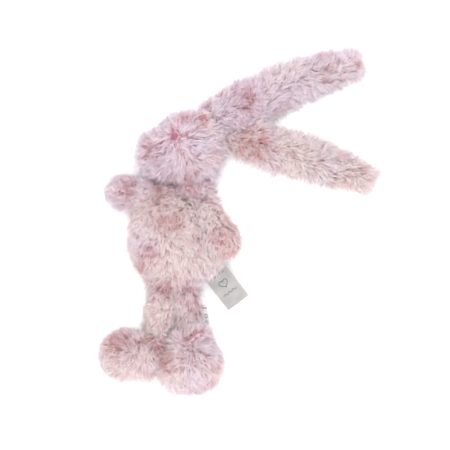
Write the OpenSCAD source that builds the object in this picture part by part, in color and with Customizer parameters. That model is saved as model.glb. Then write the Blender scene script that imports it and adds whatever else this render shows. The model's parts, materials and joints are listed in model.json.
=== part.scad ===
// Long-pile plush rabbit, lying on its back with its head flopped to one side.
// Millimetres. +Z up, out of the belly. +Y from the hips to the neck. The origin is the middle of
// the flat patch of the back that the toy lies on. Left and right are the rabbit's own.
// Every solid stops part of the way up the pile: the last few millimetres of hair stand outside it.

/* [Torso] */
// Diameter of the round torso, seen from the front
torso_d = 92; // [77:1:110]
// Thickness of the torso from back to belly before the back is pressed flat
torso_t = 70; // [58:1:84]
// How much of the back is pressed flat by the floor
back_flat = 5; // [3:0.5:8]

/* [Head] */
// Diameter of the head, seen from its face
head_d = 78; // [65:1:94]
// Thickness of the head from face to back
head_t = 66; // [55:1:79]
// Diameter of the neck where the head is sewn on
neck_d = 32; // [26:1:38]
// Diameter of the muzzle
muzzle_d = 36; // [30:1:42]
// Width of the strip of cloth that runs over the middle of the head
gusset_w = 24; // [16:1:30]
// Width of the satin-stitched nose
nose_w = 7.5; // [5:0.5:10]
// Diameter of a satin-stitched eye
eye_d = 6; // [4:0.5:8]

/* [Ears] */
// Length of an ear from its root to its fold
ear_base_l = 79; // [66:1:95]
// Length of an ear from its fold to its tip
ear_tip_l = 81; // [67:1:97]
// Width of an ear at its fold
ear_w = 40; // [34:1:46]
// Width of an ear near its root
ear_root_w = 26; // [22:1:32]
// Width of an ear near its tip
ear_end_w = 34; // [26:1:40]
// Thickness of an ear
ear_t = 18; // [14:1:21]
// Diameter of the gathered root of an ear
ear_knob_d = 22; // [18:1:23]

/* [Arms] */
// Distance from the shoulder to the middle of the paw
arm_l = 27; // [22:1:33]
// Distance from the left shoulder to the middle of the left paw, which lies over the belly
arm_over_l = 37; // [30:1:44]
// Diameter of an arm at the shoulder
shoulder_d = 25; // [20:1:27]
// Diameter of a paw
paw_d = 31; // [26:1:34]

/* [Legs] */
// Distance from the hip to the ankle
leg_l = 47; // [40:1:57]
// Diameter of a leg at the hip
hip_d = 21; // [18:1:24]
// Diameter of a leg at the ankle
ankle_d = 22; // [19:1:28]

/* [Feet] */
// Diameter of the heel
heel_d = 30; // [26:1:34]
// Diameter of the toe end of the foot that lies on its side
toe_d = 48; // [42:1:54]
// Distance from heel to toe of the foot that lies on its side
foot_l = 31; // [26:1:37]
// Diameter of the foot that stands on its heel
foot_up_d = 51; // [44:1:56]
// Height of the foot that stands on its heel
foot_up_h = 58; // [50:1:68]

/* [Labels] */
// Width of the woven ribbon label
ribbon_w = 26; // [20:1:30]
// Length of the folded ribbon label outside its seam
ribbon_l = 52; // [40:1:60]
// Width of the printed care label, along the leg
care_w = 20; // [14:1:24]
// Length of the printed care label outside its seam
care_l = 13; // [8:1:16]
// Thickness of one layer of ribbon
ribbon_t = 0.4; // [0.3:0.1:0.8]

/* [Making] */
// Thickness of the pile cloth, backing and lower pile together
cloth_t = 5; // [3:0.5:6]
// Room between two bodies that turn against each other
joint_gap = 0.5; // [0.4:0.1:1.0]
// Room between the cloth and the stuffing inside it
stuffing_gap = 0.2; // [0.1:0.1:0.5]
// Diameter of the sewing thread
thread_d = 0.8; // [0.5:0.1:1.2]

/* [Hidden] */
$fn = 40;

big = 400;
pink = [0.86, 0.76, 0.78];
lilac = [0.87, 0.78, 0.83];
shade = [0.80, 0.68, 0.70];
wadding = [0.95, 0.94, 0.92];
magenta = [0.64, 0.40, 0.50];
dull_rose = [0.60, 0.45, 0.50];
satin_grey = [0.70, 0.68, 0.66];
label_white = [0.93, 0.93, 0.92];

// A point on an egg at azimuth az and elevation el, pushed out from its surface
function on_egg(middle, half, az, el, out) =
    middle + [(half.x + out) * cos(el) * cos(az), (half.y + out) * cos(el) * sin(az),
              (half.z + out) * sin(el)];
// The unit direction at azimuth az and elevation el
function aim(az, el) = [cos(el) * cos(az), cos(el) * sin(az), sin(el)];
// The height of an egg's surface above a point in plan: side is 1 for its top, -1 for its underside
function egg_z(middle, half, x, y, side) =
    middle.z + side * half.z
    * sqrt(1 - pow((x - middle.x) / half.x, 2) - pow((y - middle.y) / half.y, 2));

torso_half = [torso_d / 2, torso_d / 2, torso_t / 2];
torso_mid = [-4, -1, torso_t / 2 - back_flat];

neck_r = neck_d / 2;
neck_at = on_egg(torso_mid, torso_half, 72, 0, 6.5);
head_half = [head_d / 2, head_d / 2, head_t / 2];
head_mid = [neck_at.x - 4, neck_at.y + head_half.y + 3, head_half.z];
muzzle_at = on_egg(head_mid, head_half, 187, 3, -10);
face_turn = 12; // azimuth of the middle line of the face, from nose to crown
satin_sink = 1.2; // how far a satin patch is pulled into the head
nose_at = on_egg(head_mid, head_half, 131, 65, -satin_sink);
eye_right_at = on_egg(head_mid, head_half, 60, 38, -satin_sink);
eye_left_at = on_egg(head_mid, head_half, 15, 53, -satin_sink);

ear_knob_r = ear_knob_d / 2;
ear_right_at = on_egg(head_mid, head_half, 39.7, -14.3, 4);
ear_left_at = on_egg(head_mid, head_half, 7, -20, 6);
ear_lie_z = ear_t / 2 + 0.5;
ear_right_az = 26.5;
ear_left_az = -10.5;
ear_right_tip_az = 16.5;
ear_left_tip_az = -18;
ear_right_drop = -asin((ear_right_at.z - ear_lie_z) / ear_base_l);
ear_left_drop = -asin((ear_left_at.z - ear_lie_z) / ear_base_l);
ear_right_fold = ear_right_at + ear_base_l * aim(ear_right_az, ear_right_drop);
ear_left_fold = ear_left_at + ear_base_l * aim(ear_left_az, ear_left_drop);
ear_fold_room = 2; // extra start of the tip beyond the fold, for its skewed seam

swing_room = 3; // what a hip or shoulder socket leaves round its ball, for the limb's taper
shoulder_r = shoulder_d / 2;
paw_r = paw_d / 2;
arm_right_at = on_egg(torso_mid, torso_half, 125.6, -9, 5);
arm_left_at = on_egg(torso_mid, torso_half, 38, 15.6, 3);
arm_right_az = 168;
arm_right_drop = -asin((arm_right_at.z - paw_r - 0.5) / arm_l);
arm_left_az = -57;
arm_left_rise = 14;

hip_r = hip_d / 2;
ankle_r = ankle_d / 2;
hip_right_at = on_egg(torso_mid, torso_half, 256.5, -17.5, 6.5);
hip_left_at = on_egg(torso_mid, torso_half, 284, -17, 7);
leg_right_az = 262;
leg_left_az = 277;
leg_right_drop = -asin((hip_right_at.z - ankle_r - 0.5) / leg_l);
leg_left_drop = -asin((hip_left_at.z - ankle_r - 0.5) / leg_l);
ankle_right_at = hip_right_at + leg_l * aim(leg_right_az, leg_right_drop);
ankle_left_at = hip_left_at + leg_l * aim(leg_left_az, leg_left_drop);
ankle_lip = 6; // how far past the ankle a foot's cloth starts

heel_r = heel_d / 2;
toe_r = toe_d / 2;
heel_right_at = [ankle_right_at.x, ankle_right_at.y - heel_r + 2, heel_r + 1];
foot_right_az = 195;
foot_right_rise = asin((toe_r - heel_right_at.z) / foot_l);
foot_up_half = [foot_up_d / 2, foot_up_d / 2, foot_up_h / 2];
foot_up_mid = [ankle_left_at.x, ankle_left_at.y - foot_up_half.y - 8, foot_up_half.z];

ribbon_at = on_egg(torso_mid, torso_half, -37, -15, 1.2);
ribbon_az = -53;
ribbon_drop = -asin((ribbon_at.z - 2) / ribbon_l);
care_reach = 0.62; // where the care label sits, as a share of the way from hip to ankle
care_out = max(hip_r, ankle_r) + joint_gap;
care_tilt = 50; // how far the care label stands up from the side of the leg

// A round cushion about +Z, with half.x its radius and half.z half its thickness
module egg(middle, half) {
    bands = 17;
    r = half.x / cos(90 / bands);
    outline = [for (i = [0 : bands]) let (t = 180 * i / bands - 90) [r * cos(t), half.z * sin(t)]];
    translate(middle) rotate([0, 0, 33]) rotate_extrude() polygon(outline);
}

// The cloth of a ball of radius r, hollow inside
module round_skin(r) {
    bands = 17;
    outer = [for (i = [0 : bands]) let (t = 180 * i / bands - 90) r * [cos(t), sin(t)]];
    inner = [for (i = [0 : bands]) let (t = 90 - 180 * i / bands) (r - cloth_t) * [cos(t), sin(t)]];
    rotate_extrude() polygon(concat(outer, inner));
}

// A round bar along +X from a ball of radius r1 at x1 to a ball of radius r2 at x2
module bar(x1, r1, x2, r2) {
    steps = 6;
    arc1 = [for (i = [0 : steps]) [r1 * sin(90 * i / steps), x1 - r1 * cos(90 * i / steps)]];
    arc2 = [for (i = [0 : steps]) [r2 * cos(90 * i / steps), x2 + r2 * sin(90 * i / steps)]];
    rotate([37, 0, 0]) rotate([0, 90, 0]) rotate_extrude() polygon(concat(arc1, arc2));
}

// Puts a shape drawn along +X at a point, turned to azimuth az and elevation el
module lay(at, az, el) {
    translate(at) rotate([0, -el, az]) children();
}

// Everything on one side of the plane through the local origin: side is 1 for +Z, -1 for -Z
module z_side(side) {
    translate([0, 0, side * big / 2]) cube(big, center = true);
}

// Everything on one side of the local plane x = 0
module x_side(side) {
    translate([side * big / 2, 0, 0]) cube(big, center = true);
}

// Everything on one side of the local plane y = 0
module y_side(side) {
    translate([0, side * big / 2, 0]) cube(big, center = true);
}

// What the limbs, the neck and the arm that lies over the belly take out of the torso
module torso_sockets() {
    translate(neck_at) sphere(r = neck_r + joint_gap);
    for (at = [hip_right_at, hip_left_at])
        translate(at) sphere(r = hip_r + swing_room);
    translate(arm_right_at) sphere(r = shoulder_r + swing_room);
    arm_right_lay() bar(0, shoulder_r + joint_gap, arm_l, paw_r + joint_gap);
    arm_left_lay() bar(0, shoulder_r + joint_gap, arm_over_l, paw_r + joint_gap);
    arm_left_lay() arm_lift();
    ribbon_slot();
}

// The way up for the arm that lies over the belly, above its own middle line
module arm_lift() {
    side = paw_r + joint_gap;
    translate([-side, -side, 0]) cube([arm_over_l + 2 * side, 2 * side, torso_t]);
}

// The gap in the side seam that the ribbon label hangs from
module ribbon_slot() {
    lay(ribbon_at, ribbon_az, ribbon_drop)
        cube([8, ribbon_w + 1, 3.2], center = true);
}

module torso_skin() {
    difference() {
        egg(torso_mid, torso_half);
        egg(torso_mid, torso_half - cloth_t * [1, 1, 1]);
        z_side(-1);
        torso_sockets();
    }
}

module torso_front(side) {
    color(pink) difference() {
        torso_skin();
        translate(torso_mid) x_side(-side);
        translate(torso_mid) z_side(-1);
    }
}

module torso_back() {
    color(shade) difference() {
        torso_skin();
        translate(torso_mid) z_side(1);
    }
}

module torso_stuffing() {
    color(wadding) difference() {
        egg(torso_mid, torso_half - (cloth_t + stuffing_gap) * [1, 1, 1]);
        translate([0, 0, stuffing_gap]) z_side(-1);
        torso_sockets();
    }
}

// Ladder stitches that close the gap in the back where the stuffing went in
module closing_stitches() {
    stitches = 4;
    pitch = 3;
    half_l = 2.6;
    lift = 0.8; // room for the slope of the cloth along one stitch
    first_y = torso_mid.y - 0.63 * torso_half.y;
    color(wadding) for (i = [0 : stitches - 1]) {
        y = first_y - i * pitch;
        z = egg_z(torso_mid, torso_half, torso_mid.x, y, -1) - thread_d / 2 - lift;
        translate([torso_mid.x, y, z]) rotate([0, 0, 12])
            bar(-half_l, thread_d / 2, half_l, thread_d / 2);
    }
}

// The head, to a depth below its surface
module head_form(deep) {
    egg(head_mid, head_half - deep * [1, 1, 1]);
}

module ear_sockets() {
    for (p = [ear_left_at, ear_right_at])
        translate(p) rotate([0, 0, 120]) sphere(r = ear_knob_r + joint_gap);
}

module head_skin() {
    difference() {
        head_form(0);
        head_form(cloth_t);
        ear_sockets();
        neck_plug(0);
    }
}

// The neck: a ball at the neck pivot, which the torso's socket turns around
module neck_plug(deep) {
    translate(neck_at) rotate([90, 0, 50]) sphere(r = neck_r - deep);
}

module gusset_sides(side) {
    translate(head_mid) rotate([0, 0, face_turn])
        translate([0, side * gusset_w / 2, 0]) y_side(side);
}

module head_crown_gusset() {
    color(lilac) difference() {
        head_skin();
        gusset_sides(1);
        gusset_sides(-1);
    }
}

module head_side(side) {
    color(pink) intersection() {
        head_skin();
        gusset_sides(side);
    }
}

module neck_collar() {
    color(shade) difference() {
        translate(neck_at) rotate([90, 0, 50]) round_skin(neck_r);
        head_form(cloth_t);
    }
}

module neck_stuffing() {
    color(wadding) neck_plug(cloth_t + stuffing_gap);
}

module head_stuffing() {
    color(wadding) difference() {
        head_form(cloth_t + stuffing_gap);
        ear_sockets();
        neck_plug(-stuffing_gap);
    }
}

module muzzle_form(deep) {
    translate(muzzle_at) sphere(r = muzzle_d / 2 - deep);
}

module muzzle_panel() {
    color(lilac) difference() {
        muzzle_form(0);
        muzzle_form(cloth_t);
        head_form(0);
    }
}

module muzzle_stuffing() {
    color(wadding) difference() {
        muzzle_form(cloth_t + stuffing_gap);
        head_form(-stuffing_gap);
    }
}

// A raised round patch of satin stitches on the head, of width d
module satin_patch(at, d) {
    difference() {
        translate(at) rotate([90, 0, 0]) sphere(r = d / 2);
        head_form(0);
    }
}

module nose_embroidery() {
    color(magenta) satin_patch(nose_at, nose_w);
}

module eye_left_embroidery() {
    color(dull_rose) satin_patch(eye_left_at, eye_d);
}

module eye_right_embroidery() {
    color(dull_rose) satin_patch(eye_right_at, eye_d);
}

// The round edge of the cloth inside an ear's fold, turned about the fold's own line
module fold_roll() {
    rotate([90, 0, 0]) egg([0, 0, 0], [ear_t / 2, ear_t / 2, ear_w / 2]);
}

// One half of an ear from root to fold, drawn along +X: side is 1 for its front, -1 for its back
module ear_base(side) {
    flat = ear_t / ear_w;
    difference() {
        union() {
            sphere(r = ear_knob_r);
            difference() {
                scale([1, 1, flat]) bar(ear_root_w / 2 + 2, ear_root_w / 2, ear_base_l, ear_w / 2);
                translate([ear_base_l, 0, 0]) x_side(1);
            }
            translate([ear_base_l, 0, 0]) fold_roll();
        }
        z_side(-side);
    }
}

// One half of an ear from fold to tip, drawn along +X
module ear_tip(side) {
    flat = ear_t / ear_w;
    start = ear_t / 2 + joint_gap + ear_fold_room;
    difference() {
        scale([1, 1, flat]) bar(0, ear_w / 2, ear_tip_l - ear_end_w / 2, ear_end_w / 2);
        translate([start, 0, 0]) x_side(-1);
        z_side(-side);
    }
}

// An arm or a leg drawn along +X: a tapered round bar, to a depth below its surface
module limb(length, r1, r2, deep) {
    bar(0, r1 - deep, length, r2 - deep);
}

module limb_panel(length, r1, r2, side) {
    difference() {
        limb(length, r1, r2, 0);
        limb(length, r1, r2, cloth_t);
        z_side(-side);
    }
}

module limb_stuffing(length, r1, r2) {
    color(wadding) limb(length, r1, r2, cloth_t + stuffing_gap);
}

module arm_left_lay() {
    lay(arm_left_at, arm_left_az, arm_left_rise) children();
}

module arm_right_lay() {
    lay(arm_right_at, arm_right_az, arm_right_drop) children();
}

module leg_left_lay() {
    lay(hip_left_at, leg_left_az, leg_left_drop) children();
}

module leg_right_lay() {
    lay(hip_right_at, leg_right_az, leg_right_drop) children();
}

module foot_left_form(deep) {
    egg(foot_up_mid, foot_up_half - deep * [1, 1, 1]);
}

module foot_right_lay() {
    lay(heel_right_at, foot_right_az, foot_right_rise) children();
}

module foot_right_form(deep) {
    foot_right_lay() bar(0, heel_r - deep, foot_l, toe_r - deep);
}

// What the ankle takes out of a foot
module ankle_socket(at) {
    translate(at) sphere(r = ankle_r + joint_gap);
    translate(at - [0, ankle_lip, 0]) y_side(1);
}

module foot_left_skin() {
    difference() {
        foot_left_form(0);
        foot_left_form(cloth_t);
        ankle_socket(ankle_left_at);
    }
}

module foot_right_skin() {
    difference() {
        foot_right_form(0);
        foot_right_form(cloth_t);
        ankle_socket(ankle_right_at);
    }
}

// A ribbon folded double, drawn along +X from its seam, with its fold at the far end
module folded_ribbon(length, width) {
    loop_r = 1.1;
    rotate([90, 0, 0]) linear_extrude(width, center = true) difference() {
        union() {
            translate([0, -loop_r]) square([length - loop_r, 2 * loop_r]);
            translate([length - loop_r, 0]) circle(r = loop_r);
        }
        translate([-1, ribbon_t - loop_r]) square([length + 1 - loop_r, 2 * (loop_r - ribbon_t)]);
        translate([length - loop_r, 0]) circle(r = loop_r - ribbon_t);
    }
}

module brand_label() {
    color(satin_grey) lay(ribbon_at, ribbon_az, ribbon_drop) folded_ribbon(ribbon_l, ribbon_w);
}

module care_label() {
    color(label_white) leg_left_lay() translate([leg_l * care_reach, care_out, 0])
        rotate([care_tilt, 0, 0]) translate([-care_w / 2, 0, 0]) cube([care_w, care_l, ribbon_t]);
}

torso_front(1);  // torso_front_left
torso_front(-1);  // torso_front_right
torso_back();
torso_stuffing();
closing_stitches();
head_crown_gusset();
head_side(-1);  // head_side_left
head_side(1);  // head_side_right
neck_collar();
head_stuffing();
neck_stuffing();
muzzle_panel();
muzzle_stuffing();
nose_embroidery();
eye_left_embroidery();
eye_right_embroidery();
color(pink) lay(ear_left_at, ear_left_az, ear_left_drop) ear_base(1);  // ear_left_base_front
color(shade) lay(ear_left_at, ear_left_az, ear_left_drop) ear_base(-1);  // ear_left_base_back
color(pink) lay(ear_left_fold, ear_left_tip_az, 0) ear_tip(1);  // ear_left_tip_front
color(shade) lay(ear_left_fold, ear_left_tip_az, 0) ear_tip(-1);  // ear_left_tip_back
color(lilac) lay(ear_right_at, ear_right_az, ear_right_drop) ear_base(1);  // ear_right_base_front
color(shade) lay(ear_right_at, ear_right_az, ear_right_drop) ear_base(-1);  // ear_right_base_back
color(lilac) lay(ear_right_fold, ear_right_tip_az, 0) ear_tip(1);  // ear_right_tip_front
color(shade) lay(ear_right_fold, ear_right_tip_az, 0) ear_tip(-1);  // ear_right_tip_back
color(lilac) arm_left_lay() limb_panel(arm_over_l, shoulder_r, paw_r, 1);  // arm_left_outer
color(shade) arm_left_lay() limb_panel(arm_over_l, shoulder_r, paw_r, -1);  // arm_left_inner
arm_left_lay() limb_stuffing(arm_over_l, shoulder_r, paw_r);  // arm_left_stuffing
color(lilac) arm_right_lay() limb_panel(arm_l, shoulder_r, paw_r, 1);  // arm_right_outer
color(shade) arm_right_lay() limb_panel(arm_l, shoulder_r, paw_r, -1);  // arm_right_inner
arm_right_lay() limb_stuffing(arm_l, shoulder_r, paw_r);  // arm_right_stuffing
color(pink) leg_left_lay() limb_panel(leg_l, hip_r, ankle_r, 1);  // leg_left_front
color(shade) leg_left_lay() limb_panel(leg_l, hip_r, ankle_r, -1);  // leg_left_back
leg_left_lay() limb_stuffing(leg_l, hip_r, ankle_r);  // leg_left_stuffing
color(pink) leg_right_lay() limb_panel(leg_l, hip_r, ankle_r, 1);  // leg_right_front
color(shade) leg_right_lay() limb_panel(leg_l, hip_r, ankle_r, -1);  // leg_right_back
leg_right_lay() limb_stuffing(leg_l, hip_r, ankle_r);  // leg_right_stuffing
color(pink) difference() { foot_left_skin(); translate(foot_up_mid) y_side(-1); }  // foot_left_upper
color(shade) difference() { foot_left_skin(); translate(foot_up_mid) y_side(1); }  // foot_left_sole
color(wadding) difference() {  // foot_left_stuffing
        foot_left_form(cloth_t + stuffing_gap);
        ankle_socket(ankle_left_at);
    }
color(pink) difference() { foot_right_skin(); foot_right_lay() y_side(1); }  // foot_right_upper
color(shade) difference() { foot_right_skin(); foot_right_lay() y_side(-1); }  // foot_right_sole
color(wadding) difference() {  // foot_right_stuffing
        foot_right_form(cloth_t + stuffing_gap);
        ankle_socket(ankle_right_at);
    }
brand_label();
care_label();
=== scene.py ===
import json
import math

import bpy
import numpy as np
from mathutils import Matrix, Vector


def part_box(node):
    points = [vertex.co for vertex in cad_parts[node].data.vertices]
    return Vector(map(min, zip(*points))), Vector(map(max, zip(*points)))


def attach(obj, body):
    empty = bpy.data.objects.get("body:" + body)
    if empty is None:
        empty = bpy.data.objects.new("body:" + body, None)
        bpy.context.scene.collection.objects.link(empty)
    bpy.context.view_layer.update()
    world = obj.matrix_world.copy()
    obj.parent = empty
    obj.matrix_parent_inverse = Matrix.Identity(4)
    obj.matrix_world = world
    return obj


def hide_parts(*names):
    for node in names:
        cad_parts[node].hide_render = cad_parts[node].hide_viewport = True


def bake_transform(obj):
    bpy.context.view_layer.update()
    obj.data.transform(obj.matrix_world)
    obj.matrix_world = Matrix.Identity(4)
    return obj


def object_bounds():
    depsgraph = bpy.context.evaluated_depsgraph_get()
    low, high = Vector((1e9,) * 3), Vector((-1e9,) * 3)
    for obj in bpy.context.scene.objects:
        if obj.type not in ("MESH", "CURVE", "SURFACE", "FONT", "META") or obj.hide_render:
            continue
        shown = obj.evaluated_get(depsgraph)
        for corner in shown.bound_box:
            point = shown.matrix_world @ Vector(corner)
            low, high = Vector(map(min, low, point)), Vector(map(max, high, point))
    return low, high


# Metres. The sizes below are written in millimetres and turned to metres with MM.
MM = 0.001

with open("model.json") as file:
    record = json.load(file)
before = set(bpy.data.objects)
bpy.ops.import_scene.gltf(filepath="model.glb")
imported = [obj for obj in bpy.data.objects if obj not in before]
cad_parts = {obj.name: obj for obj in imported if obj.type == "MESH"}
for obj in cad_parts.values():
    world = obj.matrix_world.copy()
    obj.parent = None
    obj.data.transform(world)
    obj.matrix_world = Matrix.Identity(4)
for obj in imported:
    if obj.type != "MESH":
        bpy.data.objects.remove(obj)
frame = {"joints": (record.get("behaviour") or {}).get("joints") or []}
cad_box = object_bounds()
pivot = {j["name"]: Vector(j["pos_m"]) for j in frame["joints"]}
bpy.ops.object.select_all(action="DESELECT")


# ---------- places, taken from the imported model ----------

def corners(*nodes):
    """Lowest and highest corner of several nodes together, in metres."""
    boxes = [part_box(n) for n in nodes]
    low = Vector([min(b[0][i] for b in boxes) for i in range(3)])
    high = Vector([max(b[1][i] for b in boxes) for i in range(3)])
    return low, high


def middle(*nodes):
    low, high = corners(*nodes)
    return (low + high) / 2


def mm(x, y, z):
    return Vector((x, y, z)) * MM


torso_low, torso_high = corners("torso_front_left", "torso_front_right", "torso_back")
torso_mid = Vector(((torso_low.x + torso_high.x) / 2, (torso_low.y + torso_high.y) / 2, 0.030))
head_low, head_high = corners("head_crown_gusset", "head_side_left", "head_side_right")
head_mid = Vector(((head_low.x + head_high.x) / 2, (head_low.y + head_high.y) / 2 - 0.0007, 0.033))
muzzle_low = corners("muzzle_panel")[0]
muzzle_mid = Vector((muzzle_low.x + 0.0174, head_mid.y - 0.0045, middle("muzzle_panel").z))
neck_mid = pivot["neck_nod"]
nose_mid = middle("nose_embroidery")
eye_right_mid = middle("eye_right_embroidery")
eye_left_mid = middle("eye_left_embroidery")

low, high = corners("arm_right_outer", "arm_right_inner")
paw_right = Vector((low.x, high.y, low.z)) + mm(16.5, -15.5, 15.5)
low, high = corners("arm_left_outer", "arm_left_inner")
paw_left = Vector((high.x, low.y, high.z)) + mm(-17.5, 15.5, -15.5)
low, high = corners("foot_right_upper", "foot_right_sole")
toe_right = Vector((low.x, low.y, high.z)) + mm(23.4, 23.2, -24)
heel_right = pivot["ankle_right"] + mm(0, -13, 4.5)
low, high = corners("foot_left_upper", "foot_left_sole")
foot_left_mid = (low + high) / 2

face_turn = math.radians(12)
face_across = Vector((-math.sin(face_turn), math.cos(face_turn), 0))


def ear_line(side, end_az, length, root_off, fold_off):
    """The middle line of an ear from root to fold to tip: three points."""
    root = pivot[f"ear_{side}_root"] + mm(*root_off)
    fold = pivot[f"ear_{side}_fold"] + mm(*fold_off)
    a = math.radians(end_az)
    return root, fold, fold + Vector((math.cos(a), math.sin(a), 0)) * length * MM


ear_right_line = ear_line("right", 17.5, 79, (-1, 3, 0), (-1, 2.2, 0))
ear_left_line = ear_line("left", -19.6, 73.4, (-1, 3.4, 0), (0, 0.5, 0))


# ---------- small tools ----------

def upward(way):
    """The same direction, turned over if it points down."""
    return -way if way.z < 0 else way


def only(obj):
    """Selects one object and nothing else."""
    bpy.ops.object.select_all(action="DESELECT")
    obj.select_set(True)
    bpy.context.view_layer.objects.active = obj
    return obj


def settle(obj):
    """Puts the object's place into its mesh, so that the object itself sits at the origin."""
    only(obj)
    bpy.ops.object.transform_apply(location=True, rotation=True, scale=True)
    return obj


def join_all(name, objs):
    bpy.ops.object.select_all(action="DESELECT")
    for o in objs:
        o.select_set(True)
    bpy.context.view_layer.objects.active = objs[0]
    if len(objs) > 1:
        bpy.ops.object.join()
    objs[0].name = name
    return settle(objs[0])


def reshape(obj, name, kind, **settings):
    """Adds a modifier to the active object with these settings, and applies it."""
    mod = obj.modifiers.new(name, kind)
    for key, value in settings.items():
        setattr(mod, key, value)
    bpy.ops.object.modifier_apply(modifier=mod.name)


def points_of(obj):
    out = np.empty(len(obj.data.vertices) * 3)
    obj.data.vertices.foreach_get("co", out)
    return out.reshape(-1, 3)


def normals_of(obj):
    out = np.empty(len(obj.data.vertices) * 3, np.float32)
    obj.data.vertices.foreach_get("normal", out)
    return out.reshape(-1, 3).astype(float)


def move_points(obj, points):
    obj.data.vertices.foreach_set("co", points.astype(np.float32).ravel())
    obj.data.update()


def unit(v):
    return v / np.maximum(np.linalg.norm(v, axis=-1, keepdims=True), 1e-9)


def paint(r, g, b):
    """A colour from 0 to 255 a channel as linear light."""
    def light(c):
        c = c / 255
        return c / 12.92 if c <= 0.04045 else ((c + 0.055) / 1.055) ** 2.4
    return (light(r), light(g), light(b), 1.0)


# ---------- materials ----------

def new_material(name):
    mat = bpy.data.materials.new(name)
    mat.use_nodes = True
    nodes, links = mat.node_tree.nodes, mat.node_tree.links
    return mat, nodes, links, nodes["Principled BSDF"]


def ramp(nodes, stops):
    node = nodes.new("ShaderNodeValToRGB")
    bar = node.color_ramp
    while len(bar.elements) < len(stops):
        bar.elements.new(0.5)
    for element, (at, colour) in zip(bar.elements, stops):
        element.position = at
        element.color = colour
    return node


def attribute(nodes, name):
    node = nodes.new("ShaderNodeAttribute")
    node.attribute_name = name
    return node.outputs["Fac"]


def object_place(nodes):
    return nodes.new("ShaderNodeTexCoord").outputs["Object"]


def noise(nodes, links, place, scale, detail):
    node = nodes.new("ShaderNodeTexNoise")
    node.inputs["Scale"].default_value = scale
    node.inputs["Detail"].default_value = detail
    links.new(place, node.inputs["Vector"])
    return node.outputs["Fac"]


def stretch(nodes, links, value, span=(0.0, 1.0), onto=(0.0, 1.0)):
    """Maps a value from one span onto another, and stops at its ends."""
    node = nodes.new("ShaderNodeMapRange")
    for key, number in zip(("From Min", "From Max", "To Min", "To Max"), span + onto):
        node.inputs[key].default_value = number
    links.new(value, node.inputs["Value"])
    return node.outputs["Result"]


def colour_by(nodes, links, surface, value, stops):
    colour = ramp(nodes, stops)
    links.new(value, colour.inputs["Fac"])
    links.new(colour.outputs["Color"], surface.inputs["Base Color"])


def emboss(nodes, links, surface, height, deep, strength=1.0):
    """Raises the surface by up to deep, in metres, where height is high."""
    bump = nodes.new("ShaderNodeBump")
    bump.inputs["Distance"].default_value = deep
    bump.inputs["Strength"].default_value = strength
    links.new(height, bump.inputs["Height"])
    links.new(bump.outputs["Normal"], surface.inputs["Normal"])


def plush_pile(name, warm, cool, shift):
    """Long pile, rosy at the roots and pale at the tips, with warm and cool patches over it.

    Where it is ruffled, the rosier roots show more; where the strands carry a parting value, the same darker
    colours are painted on as shade.
    shift moves the balance of the patches towards warm.
    """
    mat, nodes, links, surface = new_material(name)
    place = object_place(nodes)
    along = attribute(nodes, "along")
    lying = ramp(nodes, [(0.0, paint(214, 152, 154)), (0.24, paint(232, 198, 200)),
                         (0.56, paint(239, 228, 231)), (1.0, paint(243, 242, 242))])
    # These darker colours show the roots where the pile is ruffled, and are also painted on as shade in
    # creases and gaps.
    roots_and_painted_shade = ramp(nodes, [(0.0, paint(166, 88, 92)), (0.4, paint(194, 128, 131)),
                          (0.8, paint(222, 182, 185)), (1.0, paint(237, 218, 220))])
    links.new(along, lying.inputs["Fac"])
    links.new(along, roots_and_painted_shade.inputs["Fac"])
    ruffled = stretch(nodes, links, noise(nodes, links, place, 38, 3), (0.55, 0.70), (0.0, 0.5))
    ruffle_and_shade = nodes.new("ShaderNodeMath"); ruffle_and_shade.operation = "MAXIMUM"
    links.new(ruffled, ruffle_and_shade.inputs[0])
    links.new(attribute(nodes, "parting_shade"), ruffle_and_shade.inputs[1])
    depth = nodes.new("ShaderNodeMix"); depth.data_type = "RGBA"
    links.new(ruffle_and_shade.outputs["Value"], depth.inputs[0])
    links.new(lying.outputs["Color"], depth.inputs[6])
    links.new(roots_and_painted_shade.outputs["Color"], depth.inputs[7])
    patches = stretch(nodes, links, noise(nodes, links, place, 24, 2), (0.38 + shift, 0.62 + shift))
    tint = nodes.new("ShaderNodeMix"); tint.data_type = "RGBA"
    tint.inputs[6].default_value = warm
    tint.inputs[7].default_value = cool
    links.new(patches, tint.inputs[0])
    dyed = nodes.new("ShaderNodeMix"); dyed.data_type = "RGBA"; dyed.blend_type = "MULTIPLY"
    dyed.inputs[0].default_value = 1.0
    links.new(depth.outputs[2], dyed.inputs[6])
    links.new(tint.outputs[2], dyed.inputs[7])
    lit = nodes.new("ShaderNodeHueSaturation")
    links.new(dyed.outputs[2], lit.inputs["Color"])
    links.new(stretch(nodes, links, attribute(nodes, "lock"), onto=(0.96, 1.02)), lit.inputs["Value"])
    links.new(lit.outputs["Color"], surface.inputs["Base Color"])
    surface.inputs["Roughness"].default_value = 0.75
    surface.inputs["Specular IOR Level"].default_value = 0.25
    surface.inputs["Sheen Weight"].default_value = 0.35
    surface.inputs["Sheen Roughness"].default_value = 0.5
    surface.inputs["Sheen Tint"].default_value = (1.0, 0.95, 0.98, 1.0)
    return mat


def knitted_backing():
    """The knitted ground that the pile is rooted in."""
    mat, nodes, links, surface = new_material("knitted_backing")
    loops = nodes.new("ShaderNodeTexVoronoi"); loops.inputs["Scale"].default_value = 900
    links.new(object_place(nodes), loops.inputs["Vector"])
    colour_by(nodes, links, surface, loops.outputs["Distance"],
              [(0.0, paint(234, 206, 210)), (0.8, paint(214, 176, 182))])
    emboss(nodes, links, surface, loops.outputs["Distance"], 0.0003, 0.6)
    surface.inputs["Roughness"].default_value = 0.95
    return mat


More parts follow.
